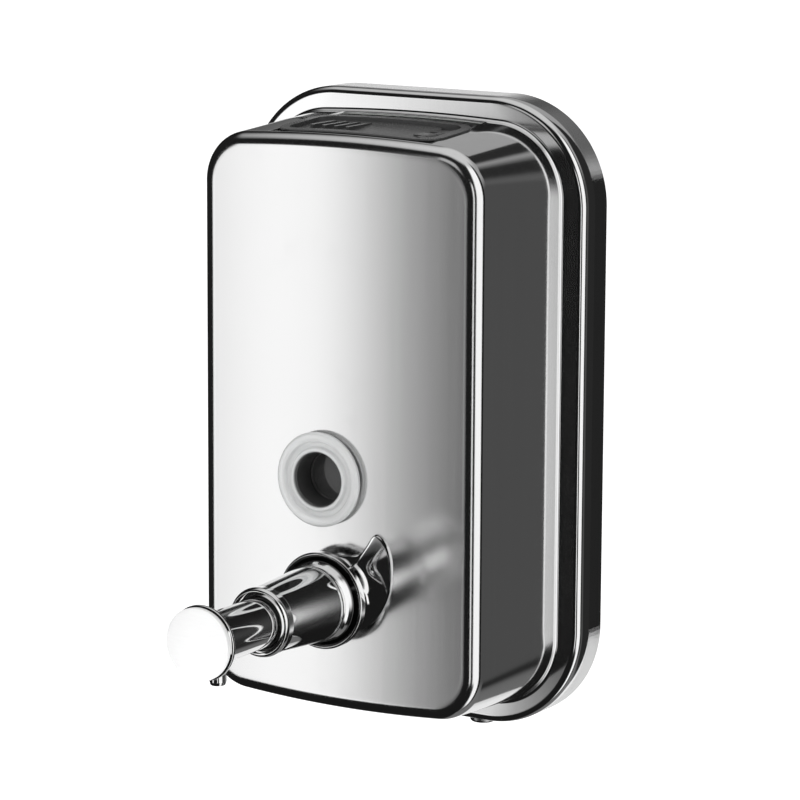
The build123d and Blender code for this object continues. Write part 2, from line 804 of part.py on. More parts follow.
# --- inlet valve: seat, ball and the pickup tube to the tank's floor ---
inlet_stop = ball_seat + ball_rest + ball_travel + ball_radius + ball_slack
with BuildPart() as inlet_valve:
    with BuildSketch(pump_side):
        band(valve_rear, cylinder_rear, 0, valve_tail_radius)
        band(cylinder_rear - shoulder_width, cylinder_rear, 0, valve_shoulder)
        band(cylinder_rear, inlet_stop + cage_end, 0, valve_tail_radius)
    revolve(axis=pump_axis)
    with BuildSketch(pump_side):
        band(valve_rear, ball_seat, 0, ball_seat_hole)
        band(ball_seat, inlet_stop, 0, ball_pocket)
    revolve(axis=pump_axis, mode=Mode.SUBTRACT)
    with BuildSketch(front_plane(inlet_stop, pump_z)):
        Rectangle(inlet_slot_length, cage_slot)
        Rectangle(cage_slot, inlet_slot_length)
    extrude(amount=slot_depth, mode=Mode.SUBTRACT)
save(inlet_valve.part, "inlet_valve")

with BuildPart() as inlet_ball:
    with BuildSketch(pump_side):
        half_disc(ball_seat + ball_rest + ball_radius * ball_sink, ball_radius)
    revolve(axis=pump_axis)
save(inlet_ball.part, "inlet_ball")

pickup_reach = valve_rear - pickup_bend
pickup_end = tank_bottom_inner + pickup_clearance
with BuildPart() as pickup_tube:
    with BuildLine() as pickup_path:
        FilletPolyline(
            (0, -cylinder_rear + pickup_start, pump_z),
            (0, -pickup_reach, pump_z),
            (0, -pickup_reach, pickup_end),
            radius=pickup_bend - pickup_bend_spare,
        )
    with BuildSketch(front_plane(cylinder_rear - pickup_start, pump_z)):
        Circle(pickup_radius)
    sweep(path=pickup_path.line)
    with BuildSketch(front_plane(cylinder_rear - pickup_start, pump_z)):
        Circle(valve_tail_radius)
    sweep(path=pickup_path.line, mode=Mode.SUBTRACT)
save(pickup_tube.part, "pickup_tube")

# --- plunger: piston, hollow stem with the outlet valve, sleeve, button and spout ---
with BuildPart() as piston:
    with BuildSketch(pump_side):
        band(stem_rear, piston_front, stem_radius, seal_groove)
        band(stem_rear, stem_rear + (piston_length - seal_width) / 2, stem_radius, piston_radius)
        band(piston_front - (piston_length - seal_width) / 2, piston_front, stem_radius, piston_radius)
    revolve(axis=pump_axis)
save(piston.part, "piston")

with BuildPart() as piston_seal:
    with BuildSketch(pump_side):
        band(stem_rear + (piston_length - seal_width) / 2, piston_front - (piston_length - seal_width) / 2,
             seal_groove, cylinder_bore - run_clearance)
    revolve(axis=pump_axis)
save(piston_seal.part, "piston_seal")

outlet_stop = outlet_seat_front + ball_rest + ball_travel + ball_radius + ball_slack
with BuildPart() as pump_stem:
    with BuildSketch(pump_side):
        band(stem_rear, stem_front, 0, stem_radius)
    revolve(axis=pump_axis)
    with BuildSketch(pump_side):
        band(stem_rear, outlet_stop, 0, stem_bore)
        band(outlet_stop, spout_reach + spout_bore / 2, 0, stem_channel)
    revolve(axis=pump_axis, mode=Mode.SUBTRACT)
    with BuildSketch(front_plane(outlet_stop, pump_z)):
        Rectangle(outlet_slot_length, cage_slot)
        Rectangle(cage_slot, outlet_slot_length)
    extrude(amount=slot_depth, mode=Mode.SUBTRACT)
    for radius, top in ((spout_radius, spout_entry), (spout_bore, 0)):
        with BuildSketch(Plane.XY.offset(pump_z - stem_radius - spout_hole_spare)):
            with Locations((0, -spout_reach)):
                Circle(radius)
        extrude(amount=stem_radius + spout_hole_spare - top, mode=Mode.SUBTRACT)
save(pump_stem.part, "pump_stem")

with BuildPart() as outlet_seat:
    with BuildSketch(pump_side):
        band(stem_rear, outlet_seat_front, ball_seat_hole, stem_bore)
    revolve(axis=pump_axis)
save(outlet_seat.part, "outlet_seat")

with BuildPart() as outlet_ball:
    with BuildSketch(pump_side):
        half_disc(outlet_seat_front + ball_rest + ball_radius * ball_sink, ball_radius)
    revolve(axis=pump_axis)
save(outlet_ball.part, "outlet_ball")

with BuildPart() as plunger_sleeve:
    with BuildSketch(pump_side):
        band(sleeve_rear, button_reach, sleeve_bore, sleeve_radius)
    revolve(axis=pump_axis)
    with BuildSketch(Plane.XY.offset(pump_z - sleeve_radius - spout_hole_spare)):
        with Locations((0, -spout_reach)):
            Circle(spout_radius)
    extrude(amount=sleeve_radius, mode=Mode.SUBTRACT)
save(plunger_sleeve.part, "plunger_sleeve")

with BuildPart() as button_core:
    with BuildSketch(pump_side):
        band(core_start, button_reach, 0, sleeve_bore)
        band(button_reach, rim_front, 0, button_radius)
    revolve(axis=pump_axis)
    rim_edges = button_core.edges().filter_by(GeomType.CIRCLE)
    fillet(rim_edges.filter_by(lambda edge: abs(edge.radius - button_radius) < 0.01), button_rim_edge)
    with BuildSketch(pump_side):
        band(core_start, stem_front, 0, stem_radius)
    revolve(axis=pump_axis, mode=Mode.SUBTRACT)
    with BuildSketch(Plane.XY.offset(pump_z - sleeve_radius - spout_hole_spare)):
        with Locations((0, -spout_reach)):
            Circle(spout_radius)
    extrude(amount=sleeve_radius - spout_hole_spare, mode=Mode.SUBTRACT)
save(button_core.part, "button_core")

cap_reach = rim_front + cap_rim
dome_radius = (cap_radius**2 + dome_height**2) / (2 * dome_height)
with BuildPart() as button_cap:
    with BuildSketch(pump_side):
        with BuildLine():
            Polyline(
                (cap_reach + dome_height, 0),
                (rim_front, 0),
                (rim_front, cap_radius - cap_groove_depth),
                (rim_front + cap_groove, cap_radius - cap_groove_depth),
                (rim_front + cap_edge_start, cap_radius),
                (cap_reach, cap_radius),
            )
            RadiusArc((cap_reach, cap_radius), (cap_reach + dome_height, 0), dome_radius)
        make_face()
    revolve(axis=pump_axis)
save(button_cap.part, "button_cap")

with BuildPart() as spout:
    with BuildSketch(Plane.XY.offset(pump_z - spout_drop)):
        with Locations((0, -spout_reach)):
            Circle(spout_radius)
    extrude(amount=spout_drop - spout_entry)
    fillet(spout.faces().sort_by(Axis.Z)[0].edges(), spout_edge)
    with BuildSketch(Plane.XY.offset(pump_z - spout_drop)):
        with Locations((0, -spout_reach)):
            Circle(spout_bore)
    extrude(amount=spout_drop, mode=Mode.SUBTRACT)
save(spout.part, "spout")

spring_rear = cylinder_front + cap_head
spring_length = core_start - spring_rear
with BuildPart() as return_spring:
    spring_pitch = (spring_length - spring_wire) / spring_turns
    with BuildLine() as coil:
        Helix(spring_pitch, spring_length - spring_wire, spring_radius,
              center=(0, -spring_rear - spring_wire / 2, pump_z), direction=(0, -1, 0))
    with BuildSketch(Plane(origin=coil.line @ 0, z_dir=coil.line % 0)):
        Circle(spring_wire / 2)
    sweep(path=coil.line, is_frenet=True)
save(return_spring.part, "return_spring")
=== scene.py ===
import json
import math

import bmesh
import bpy
from mathutils import Matrix, Vector


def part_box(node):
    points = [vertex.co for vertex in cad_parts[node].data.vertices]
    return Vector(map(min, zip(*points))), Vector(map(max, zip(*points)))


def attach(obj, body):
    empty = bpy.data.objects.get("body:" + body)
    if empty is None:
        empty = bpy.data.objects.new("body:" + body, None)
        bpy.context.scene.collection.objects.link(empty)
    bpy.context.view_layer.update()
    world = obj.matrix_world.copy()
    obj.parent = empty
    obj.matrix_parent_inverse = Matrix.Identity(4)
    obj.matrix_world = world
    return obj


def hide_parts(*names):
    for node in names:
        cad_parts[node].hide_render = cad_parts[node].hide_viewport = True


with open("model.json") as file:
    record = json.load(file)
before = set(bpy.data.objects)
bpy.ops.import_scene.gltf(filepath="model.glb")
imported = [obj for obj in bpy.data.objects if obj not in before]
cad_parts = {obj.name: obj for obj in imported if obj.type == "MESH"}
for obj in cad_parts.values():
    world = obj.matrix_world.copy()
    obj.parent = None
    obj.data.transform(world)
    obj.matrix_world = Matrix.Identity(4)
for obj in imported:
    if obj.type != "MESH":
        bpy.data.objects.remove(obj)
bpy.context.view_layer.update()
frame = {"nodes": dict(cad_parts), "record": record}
nodes = frame["nodes"]
mm = 0.001
print("frame loaded with", len(nodes), "nodes")


class Wire:
    # one socket of a node tree; sums and products of wires add their own Math nodes
    def __init__(self, tree, socket=None):
        self.tree = tree
        self.socket = socket

    def make(self, kind, settings=None, sockets=None, out=0):
        node = self.tree.nodes.new(kind)
        for name, value in (settings or {}).items():
            if name == "stops":
                setStops(node.color_ramp, value)
            else:
                setattr(node, name, value)
        for key, value in (sockets or {}).items():
            if isinstance(value, Wire):
                self.tree.links.new(value.socket, node.inputs[key])
            else:
                node.inputs[key].default_value = value
        return Wire(self.tree, node.outputs[out])

    def maths(self, operation, *values):
        sockets = {index: value for index, value in enumerate(values)}
        return self.make("ShaderNodeMath", {"operation": operation}, sockets)

    def __add__(self, other):
        return self.maths("ADD", self, other)

    def __radd__(self, other):
        return self.maths("ADD", other, self)

    def __sub__(self, other):
        return self.maths("SUBTRACT", self, other)

    def __rsub__(self, other):
        return self.maths("SUBTRACT", other, self)

    def __mul__(self, other):
        return self.maths("MULTIPLY", self, other)

    def __rmul__(self, other):
        return self.maths("MULTIPLY", other, self)

    def __truediv__(self, other):
        return self.maths("DIVIDE", self, other)

    def step(self, low, high):
        # 0 below low, 1 above high, smooth between
        sockets = {"Value": self, "From Min": low, "From Max": high}
        return self.make("ShaderNodeMapRange", {"interpolation_type": "SMOOTHSTEP"}, sockets)

    def window(self, low, high, soft):
        # 1 between low and high, fading over soft on each side
        return self.step(low - soft, low + soft) * (1 - self.step(high - soft, high + soft))

    def tint(self, first, second):
        # this wire's share of the second colour over the first
        sockets = {0: self, 6: first, 7: second}
        return self.make("ShaderNodeMix", {"data_type": "RGBA"}, sockets, out=2)

    def part(self, index):
        # x, y or z of this wire
        return self.make("ShaderNodeSeparateXYZ", {}, {"Vector": self}, index)

    def awayFrom(self, node):
        # distance from the middle of a CAD node, seen along Y
        low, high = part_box(node)
        across = self.part(0) - (low.x + high.x) / 2
        upward = self.part(2) - (low.z + high.z) / 2
        return self.maths("SQRT", across * across + upward * upward)

    def stretched(self, scale):
        sockets = {0: self, 1: scale}
        return self.make("ShaderNodeVectorMath", {"operation": "MULTIPLY"}, sockets)

    def noise(self, scale, detail=3.0, roughness=0.55):
        sockets = {"Vector": self, "Scale": scale, "Detail": detail, "Roughness": roughness}
        return self.make("ShaderNodeTexNoise", {}, sockets)

    def bumped(self, strength, distance):
        sockets = {"Height": self, "Strength": strength, "Distance": distance}
        return self.make("ShaderNodeBump", {}, sockets)


def setStops(ramp, stops):
    while len(ramp.elements) > 1:
        ramp.elements.remove(ramp.elements[-1])
    for index, (place, colour) in enumerate(stops):
        element = ramp.elements[0] if index == 0 else ramp.elements.new(place)
        element.position = place
        element.color = colour


def newFinish(name):
    # a material with only its Principled shader, and a wire that measures the object in metres
    finish = bpy.data.materials.new(name)
    finish.use_nodes = True
    shader = finish.node_tree.nodes["Principled BSDF"]
    start = Wire(finish.node_tree)
    place = start.make("ShaderNodeTexCoord", out=3)
    return finish, shader, place


def feed(shader, sockets):
    tree = shader.id_data
    for name, value in sockets.items():
        if isinstance(value, Wire):
            tree.links.new(value.socket, shader.inputs[name])
        else:
            shader.inputs[name].default_value = value


def grey(level, warm=0.0):
    return (level + warm, level, level - warm, 1.0)


def polishedSteelFinish():
    look = {"light": 0.95, "dark": 0.86, "gloss": 0.07, "haze": 0.04, "smear": 0.02, "satin": 0.06,
            "panel": (0.0495, 0.0535), "grain": 0.10}
    finish, shader, place = newFinish("polishedSteel")
    streaks = place.stretched((420.0, 420.0, 7.0)).noise(1.0, 4.0, 0.6)
    clouds = place.noise(22.0, 2.0)
    smears = place.noise(70.0, 5.0, 0.7).step(0.55, 0.75)
    reach = place.part(1) * -1
    frontPanel = reach.step(*look["panel"])
    rubbed = look["gloss"] + look["haze"] * streaks + look["smear"] * smears
    feed(shader, {
        "Base Color": (streaks * 0.6 + clouds * 0.4).tint(grey(look["dark"]), grey(look["light"])),
        "Roughness": rubbed + look["satin"] * frontPanel,
        "Metallic": 1.0,
        "Normal": streaks.bumped(look["grain"], 0.00001),
    })
    return finish


def chromeFinish():
    look = {"light": 0.97, "dark": 0.90, "gloss": 0.035, "haze": 0.035}
    finish, shader, place = newFinish("chromePlate")
    clouds = place.noise(160.0, 4.0, 0.6)
    wipes = place.stretched((1.0, 0.25, 1.0)).noise(1400.0, 3.0)
    feed(shader, {
        "Base Color": clouds.tint(grey(look["dark"]), grey(look["light"])),
        "Roughness": look["gloss"] + look["haze"] * wipes * clouds,
        "Metallic": 1.0,
        "Normal": clouds.bumped(0.05, 0.00004),
    })
    return finish


def collarChromePaintedReflectionFinish():
    look = {"inner": 11.6, "outer": 13.5, "soft": 0.15, "light": 0.95, "band": 0.10,
            "gloss": 0.05, "haze": 0.03}
    finish, shader, place = newFinish("collarChromePaintedReflection")
    away = place.awayFrom("pump_collar")
    # painted reflection: the base colour is painted dark (0.10) in a band 11.6 to 13.5 mm from the pump's
    # axis, standing in for a reflection on the collar
    band = away.window(look["inner"] * mm, look["outer"] * mm, look["soft"] * mm)
    clouds = place.noise(160.0, 4.0, 0.6)
    feed(shader, {
        "Base Color": band.tint(grey(look["light"]), grey(look["band"])),
        "Roughness": look["gloss"] + look["haze"] * clouds,
        "Metallic": 1.0,
        "Normal": clouds.bumped(0.05, 0.00004),
    })
    return finish


def satinChromeFinish():
    look = {"light": 0.98, "dark": 0.90, "gloss": 0.42, "haze": 0.10}
    finish, shader, place = newFinish("satinChrome")
    brushed = place.stretched((260.0, 260.0, 2600.0)).noise(1.0, 4.0, 0.6)
    feed(shader, {
        "Base Color": brushed.tint(grey(look["dark"]), grey(look["light"])),
        "Roughness": look["gloss"] + look["haze"] * brushed,
        "Metallic": 0.15,
        "Normal": brushed.bumped(0.05, 0.00002),
    })
    return finish


def plateSteelFinish():
    look = {"light": 0.66, "dark": 0.52, "gloss": 0.26, "haze": 0.16}
    finish, shader, place = newFinish("plateSteel")
    rolled = place.stretched((14.0, 700.0, 900.0)).noise(1.0, 4.0, 0.65)
    clouds = place.noise(45.0, 3.0)
    feed(shader, {
        "Base Color": (rolled * 0.5 + clouds * 0.5).tint(grey(look["dark"]), grey(look["light"])),
        "Roughness": look["gloss"] + look["haze"] * rolled,
        "Metallic": 1.0,
        "Normal": rolled.bumped(0.12, 0.00002),
    })
    return finish


def clearPlasticFinish():
    look = {"well": 7.8, "ring": 8.5, "paintedShadeTone": 0.07, "clear": 0.42}
    finish, shader, place = newFinish("clearPlasticPaintedShade")
    clouds = place.noise(300.0, 3.0)
    # painted shade: the base colour is painted dark (0.07) within 7.8 mm of the window's axis, fading to
    # clear plastic by 8.5 mm, standing in for the shade in the window's bore
    rim = place.awayFrom("window_lens").step(look["well"] * mm, look["ring"] * mm)
    feed(shader, {
        "Base Color": rim.tint(grey(look["paintedShadeTone"]), (0.97, 0.98, 0.98, 1)),
        "Roughness": 0.02 + 0.05 * clouds,
        "Transmission Weight": look["clear"],
        "IOR": 1.49,
        "Normal": clouds.bumped(0.06, 0.00006),
    })
    return finish


def hatchPlasticFinish(name, level, gloss):
    finish, shader, place = newFinish(name)
    grain = place.noise(2600.0, 2.0)
    clouds = place.noise(60.0, 3.0)
    feed(shader, {
        "Base Color": clouds.tint(grey(level * 0.82), grey(level * 1.15)),
        "Roughness": gloss + 0.16 * grain * clouds,
        "Specular IOR Level": 0.55,
        "Normal": grain.bumped(0.22, 0.00003),
    })
    return finish


def tankPlasticFinish():
    finish, shader, place = newFinish("tankPlastic")
    clouds = place.noise(35.0, 4.0)
    grain = place.noise(1500.0, 2.0)
    feed(shader, {
        "Base Color": clouds.tint((0.72, 0.74, 0.73, 1), (0.88, 0.89, 0.87, 1)),
        "Roughness": 0.32 + 0.14 * grain,
        "Subsurface Weight": 0.25,
        "Subsurface Radius": (0.004, 0.004, 0.004),
        "Normal": grain.bumped(0.15, 0.00005),
    })
    return finish


def mouldedWhiteFinish():
    finish, shader, place = newFinish("mouldedWhite")
    clouds = place.noise(90.0, 4.0)
    grain = place.noise(2200.0, 2.0)
    feed(shader, {
        "Base Color": clouds.tint((0.74, 0.73, 0.70, 1), (0.86, 0.86, 0.84, 1)),
        "Roughness": 0.36 + 0.18 * grain,
        "Normal": grain.bumped(0.15, 0.00004),
    })
    return finish


def rubberFinish():
    finish, shader, place = newFinish("blackRubber")
    clouds = place.noise(140.0, 4.0)
    grain = place.noise(3200.0, 2.0)
    feed(shader, {
        "Base Color": clouds.tint(grey(0.016), grey(0.035)),
        "Roughness": 0.55 + 0.25 * clouds,
        "Normal": grain.bumped(0.3, 0.00005),
    })
    return finish


def springWireFinish():
    finish, shader, place = newFinish("springWire")
    drawn = place.noise(900.0, 4.0)
    feed(shader, {
        "Base Color": drawn.tint(grey(0.42), grey(0.62)),
        "Roughness": 0.22 + 0.2 * drawn,
        "Metallic": 1.0,
        "Normal": drawn.bumped(0.1, 0.00003),
    })
    return finish


finishes = {
    "polished_steel": polishedSteelFinish(),
    "plate_steel": plateSteelFinish(),
    "tank_plastic": tankPlasticFinish(),
    "hatch_plastic": hatchPlasticFinish("hatchPlastic", 0.055, 0.22),
    "clear_plastic": clearPlasticFinish(),
    "rubber": rubberFinish(),
    "chrome": chromeFinish(),
    "collar": collarChromePaintedReflectionFinish(),
    "button": satinChromeFinish(),
    "white_plastic": mouldedWhiteFinish(),
    "spring_steel": springWireFinish(),
}
print("finishes made:", len(finishes))


def dress(piece, finish):
    piece.data.materials.clear()
    piece.data.materials.append(finish)


slotOf = {row["node"]: row["material_slot"] for row in frame["record"]["subparts"]}
for node, slotName in slotOf.items():
    dress(nodes[node], finishes[slotName])


# the helpers below work in millimetres, and reach is the distance from the wall

def addPiece(name, points, faces, node, body):
    mesh = bpy.data.meshes.new(name)
    mesh.from_pydata([Vector(point) * mm for point in points], [], faces)
    shape = bmesh.new()
    shape.from_mesh(mesh)
    bmesh.ops.remove_doubles(shape, verts=shape.verts, dist=1e-7)
    bmesh.ops.recalc_face_normals(shape, faces=shape.faces)
    shape.to_mesh(mesh)
    shape.free()
    for face in mesh.polygons:
        face.use_smooth = True
    piece = bpy.data.objects.new(name, mesh)
    bpy.context.scene.collection.objects.link(piece)
    dress(piece, finishes[slotOf[node]])
    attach(piece, body)
    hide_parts(node)
    return piece


def evenNormals(piece):
    # broad faces keep their own direction, so that small roundings don't bend the reflections
    weigh = piece.modifiers.new("evenNormals", "WEIGHTED_NORMAL")
    weigh.mode = "FACE_AREA"
    weigh.weight = 100
    weigh.keep_sharp = True


def roundedCorner(before, corner, after, radius, steps=5):
    # the corner of a section, replaced by an arc
    corner = Vector(corner)
    toBefore = (Vector(before) - corner)
    toAfter = (Vector(after) - corner)
    half = toBefore.angle(toAfter) / 2
    reach = min(radius / math.tan(half), 0.49 * toBefore.length, 0.49 * toAfter.length)
    radius = reach * math.tan(half)
    start = corner + toBefore.normalized() * reach
    end = corner + toAfter.normalized() * reach
    centre = corner + (toBefore.normalized() + toAfter.normalized()).normalized() * (radius / math.sin(half))
    arc = []
    for index in range(steps + 1):
        share = index / steps
        blend = (start - centre).lerp(end - centre, share)
        if radius > 1e-6:
            spoke = (start - centre).angle(end - centre)
            first = math.sin((1 - share) * spoke) / math.sin(spoke)
            second = math.sin(share * spoke) / math.sin(spoke)
            blend = (start - centre) * first + (end - centre) * second
        arc.append(centre + blend)
    return arc


def roundedSection(corners):
    # corners are (reach, radius) or (reach, radius, rounding)
    section = []
    for index, corner in enumerate(corners):
        if len(corner) == 2:
            section.append(Vector(corner))
            continue
        before = corners[index - 1][:2]
        after = corners[(index + 1) % len(corners)][:2]
        section += roundedCorner(before, corner[:2], after, corner[2])
    return section


def loopFaces(loops, count, closed=True):
    # quads between neighbouring loops of count points each, the last loop joined to the first
    faces = []
    for step in range(loops):
        here, there = step * count, (step + 1) % loops * count
        for index in range(count if closed else count - 1):
            following = (index + 1) % count
            faces.append((here + index, here + following, there + following, there + index))
    return faces


def turnedMesh(section, axis, closed, turns=192):
    # points and faces of a section turned about a line along Y, axis being its x and z
    points = []
    for step in range(turns):
        angle = 2 * math.pi * step / turns
        for reach, radius in section:
            points.append((axis[0] + radius * math.sin(angle), -reach, axis[1] + radius * math.cos(angle)))
    return points, loopFaces(turns, len(section), closed)


def turnedPiece(name, corners, axis, node, body, closed=True, turns=192):
    points, faces = turnedMesh(roundedSection(corners), axis, closed, turns)
    piece = addPiece(name, points, faces, node, body)
    evenNormals(piece)
    return piece


def reachOf(node):
    # nearest and farthest distance of a CAD node from the wall, in millimetres
    low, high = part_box(node)
    return -high.y / mm, -low.y / mm


def axisOf(node):
    low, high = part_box(node)
    return (low.x + high.x) / 2 / mm, (low.z + high.z) / 2 / mm


pumpAxis = axisOf("pump_collar")
windowAxis = axisOf("window_lens")


cover = {
    "frontWidth": 93.0, "frontHeight": 161.8, "frontCorner": 14.0, "backCorner": 21.5, "frontEdge": 8.0,
    "bow": 1.2, "arch": 2.3, "sideDraft": 3.7, "topDraft": 2.9,
    "flangeDepth": 13.0, "flangeCorner": 31.0, "flangeEdge": 2.4, "cove": 1.3, "sheet": 0.8,
    "draftEnd": 0.5, "flangeArch": 0.001,
    "windowHole": 9.65, "pumpHole": 8.75, "holeDepth": 3.0,
    "panelRings": 90, "edgeSteps": 14, "flangeSteps": 10, "coveSteps": 10, "coveRun": 9.0,
    "hatchLip": 1.4, "hatchCorner": 6.0, "hatchDepth": 9.0, "rimWidth": 1.6,
}


def arcPoints(centre, radius, start, end, count):
    # points and outward directions along an arc, angles in radians, the end left out
    found = []
    for index in range(count):
        angle = start + (end - start) * index / count
        spoke = Vector((math.cos(angle), math.sin(angle)))
        found.append((Vector(centre) + spoke * radius, spoke))
    return found


def panelOutline(width, height, corner, arch, counts=(70, 40, 70)):
    # a rectangle with bulging top and bottom and round corners, counter-clockwise from the right side's foot
    half, tall = width / 2, height / 2
    archRadius = (half**2 + arch**2) / (2 * arch)
    archCentre = tall + arch - archRadius
    centreX = half - corner
    centreZ = archCentre + math.sqrt((archRadius - corner) ** 2 - centreX**2)
    lean = math.atan2(centreZ - archCentre, centreX)
    sideCount, cornerCount, topCount = counts
    quarter = []
    for index in range(sideCount):
        quarter.append((Vector((half, -centreZ + 2 * centreZ * index / sideCount)), Vector((1, 0))))
    quarter += arcPoints((centreX, centreZ), corner, 0, lean, cornerCount)
    quarter += arcPoints((0, archCentre), archRadius, lean, math.pi - lean, topCount)
    quarter += arcPoints((-centreX, centreZ), corner, math.pi - lean, math.pi, cornerCount)
    half = [(-point, -spoke) for point, spoke in quarter]
    return quarter + half


def bowReach(x, front, halfWidth, bow):
    radius = (halfWidth**2 + bow**2) / (2 * bow)
    return front - radius + math.sqrt(radius**2 - x**2)


def filletCurve(corner, along, across, radius, steps):
    # arc between two straight runs that meet at corner and leave it along two directions
    half = along.angle(across) / 2
    tangent = radius / math.tan(half)
    far = corner + along * tangent
    return roundedCorner(far + along, corner, corner + across * tangent * 3, radius, steps)


def coverStation(front, farReach, near, far, flange):
    # one section of the cover, from the front panel's rim to the back of the flange
    c = cover
    (nearPoint, spoke), (farPoint, _), (flangePoint, flangeSpoke) = near, far, flange
    halfWidth = c["frontWidth"] / 2
    # it is drawn in the plane of the outline's normal: u outwards, v away from the wall
    side = Vector(((farPoint - nearPoint).dot(spoke), farReach - front)).normalized()
    panelReach = bowReach(nearPoint.x, front, halfWidth, c["bow"])
    slope = -nearPoint.x / ((halfWidth**2 + c["bow"] ** 2) / (2 * c["bow"])) * spoke.x
    inward = Vector((-1.0, -slope)).normalized()
    edge = Vector((side.x / side.y * (panelReach - front), panelReach))
    fillet = filletCurve(edge, side, inward, c["frontEdge"], c["edgeSteps"])
    drift = (farPoint - nearPoint) - spoke * (farPoint - nearPoint).dot(spoke)
    station = []
    for u, v in reversed(fillet):
        share = (front - v) / (front - farReach)
        place = nearPoint + spoke * u + drift * share
        station.append((place.x, v, place.y))
    rootReach = c["flangeDepth"]
    root = Vector((side.x / side.y * (rootReach - front), rootReach))
    outwards = root + Vector((c["coveRun"], 0))
    cove = roundedCorner(root - side * c["coveRun"], root, outwards, c["cove"], c["coveSteps"])
    share = (front - rootReach) / (front - farReach)
    for u, v in cove:
        place = nearPoint + spoke * u + drift * share
        station.append((place.x, v, place.y))
    for index in range(c["flangeSteps"] + 1):
        angle = math.pi / 2 * index / c["flangeSteps"]
        out = -c["flangeEdge"] * (1 - math.sin(angle))
        back = rootReach - c["flangeEdge"] * (1 - math.cos(angle))
        place = flangePoint + flangeSpoke * out
        station.append((place.x, back, place.y))
    station.append((flangePoint.x, 0.0, flangePoint.y))
    return station


def fillPanel(points, faces, loops, front):
    # fills the front with rings that shrink to its middle
    c = cover
    count, stationCount, rings = len(loops), len(loops[0]), c["panelRings"]
    rim = [Vector((station[0][0], station[0][2])) for station in loops]
    start = len(points)
    for ring in range(1, rings):
        for place in rim:
            spot = place * (1 - ring / rings)
            points.append((spot.x, -bowReach(spot.x, front, c["frontWidth"] / 2, c["bow"]), spot.y))
    points.append((0, -front, 0))
    for ring in range(rings):
        for index in range(count):
            following = (index + 1) % count
            outer = (index * stationCount, following * stationCount)
            if ring:
                outer = (start + (ring - 1) * count + index, start + (ring - 1) * count + following)
            if ring == rings - 1:
                faces.append((outer[0], outer[1], len(points) - 1))
            else:
                inner = (start + ring * count + index, start + ring * count + following)
                faces.append((outer[0], outer[1], inner[1], inner[0]))


def buildCover():
    c = cover
    front = reachOf("cover")[1]
    farReach = c["flangeDepth"] - c["draftEnd"]
    near = panelOutline(c["frontWidth"], c["frontHeight"], c["frontCorner"], c["arch"])
    farWidth, farHeight = c["frontWidth"] + 2 * c["sideDraft"], c["frontHeight"] + 2 * c["topDraft"]
    far = panelOutline(farWidth, farHeight, c["backCorner"], c["arch"])
    low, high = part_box("cover")
    flangeWidth, flangeHeight = (high.x - low.x) / mm, (high.z - low.z) / mm
    flange = panelOutline(flangeWidth, flangeHeight, c["flangeCorner"], c["flangeArch"])
    loops = [coverStation(front, farReach, *rays) for rays in zip(near, far, flange)]
    points = [(x, -reach, z) for station in loops for x, reach, z in station]
    faces = loopFaces(len(loops), len(loops[0]), False)
    fillPanel(points, faces, loops, front)
    piece = addPiece("coverShell", points, faces, "cover", "housing")
    cutRound(piece, ((windowAxis, c["windowHole"]), (pumpAxis, c["pumpHole"])), front)
    cutHatch(piece)
    shell = piece.modifiers.new("sheet", "SOLIDIFY")
    shell.thickness = c["sheet"] * mm
    shell.offset = -1
    return piece


def outsideRect(x, y, low, high, corner):
    # signed distance from a rounded rectangle, negative inside
    middle = ((low[0] + high[0]) / 2, (low[1] + high[1]) / 2)
    dx = abs(x - middle[0]) - (high[0] - low[0]) / 2 + corner
    dy = abs(y - middle[1]) - (high[1] - low[1]) / 2 + corner
    return math.hypot(max(dx, 0), max(dy, 0)) + min(max(dx, dy), 0) - corner


def cutFaces(piece, distance, pull):
    # removes the faces inside a shape and pulls the rim of the hole onto it
    shape = bmesh.new()
    shape.from_mesh(piece.data)
    inside = [face for face in shape.faces if distance(face.calc_center_median()) < 0]
    bmesh.ops.delete(shape, geom=inside, context="FACES")
    for vertex in shape.verts:
        if vertex.is_boundary and abs(distance(vertex.co)) < cover["rimWidth"] * mm:
            pull(vertex)
    shape.to_mesh(piece.data)
    shape.free()


def cutRound(piece, holes, front):
    for (across, height), radius in holes:
        def distance(place):
            if -place.y / mm < front - cover["holeDepth"]:
                return 1.0
            return math.hypot(place.x - across * mm, place.z - height * mm) - radius * mm

        def pull(vertex):
            away = Vector((vertex.co.x - across * mm, vertex.co.z - height * mm))
            away = away.normalized() * radius * mm
            vertex.co.x, vertex.co.z = away.x + across * mm, away.y + height * mm

        cutFaces(piece, distance, pull)


def cutHatch(piece):
    low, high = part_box("hatch_frame")
    lip = cover["hatchLip"] * mm
    corner = cover["hatchCorner"] * mm
    lowEdge, highEdge = (low.x + lip, low.y + lip), (high.x - lip, high.y - lip)

    def distance(place):
        if place.z < high.z - cover["hatchDepth"] * mm:
            return 1.0
        return outsideRect(place.x, place.y, lowEdge, highEdge, corner)

    def pull(vertex):
        for _ in range(3):
            gap = distance(vertex.co)
            nudge = 0.01 * mm
            slopeX = distance(vertex.co + Vector((nudge, 0, 0))) - gap
            slopeY = distance(vertex.co + Vector((0, nudge, 0))) - gap
            slope = Vector((slopeX, slopeY, 0)) / nudge
            if slope.length > 0.1:
                vertex.co -= slope.normalized() * gap

    cutFaces(piece, distance, pull)


coverShell = buildCover()
print("cover built with", len(coverShell.data.polygons), "faces")


lens = {
    "paneReach": 48.5, "pane": 1.7, "tail": 3.0, "bore": 7.5, "shank": 9.4,
    # drop behind the front, step in from the edge or out from the bore, rounding
    "rim": [(0.9, 0.0, 0.4), (0.15, 0.7, 0.4), (0.0, 1.7, 0.5), (0.35, 2.5, 0.4), (1.3, 3.0, 0.4)],
    "lip": [(1.5, 2.1, 0.3), (0.6, 1.5, 0.3), (0.7, 0.6, 0.3), (1.5, 0.0, 0.4)],
}


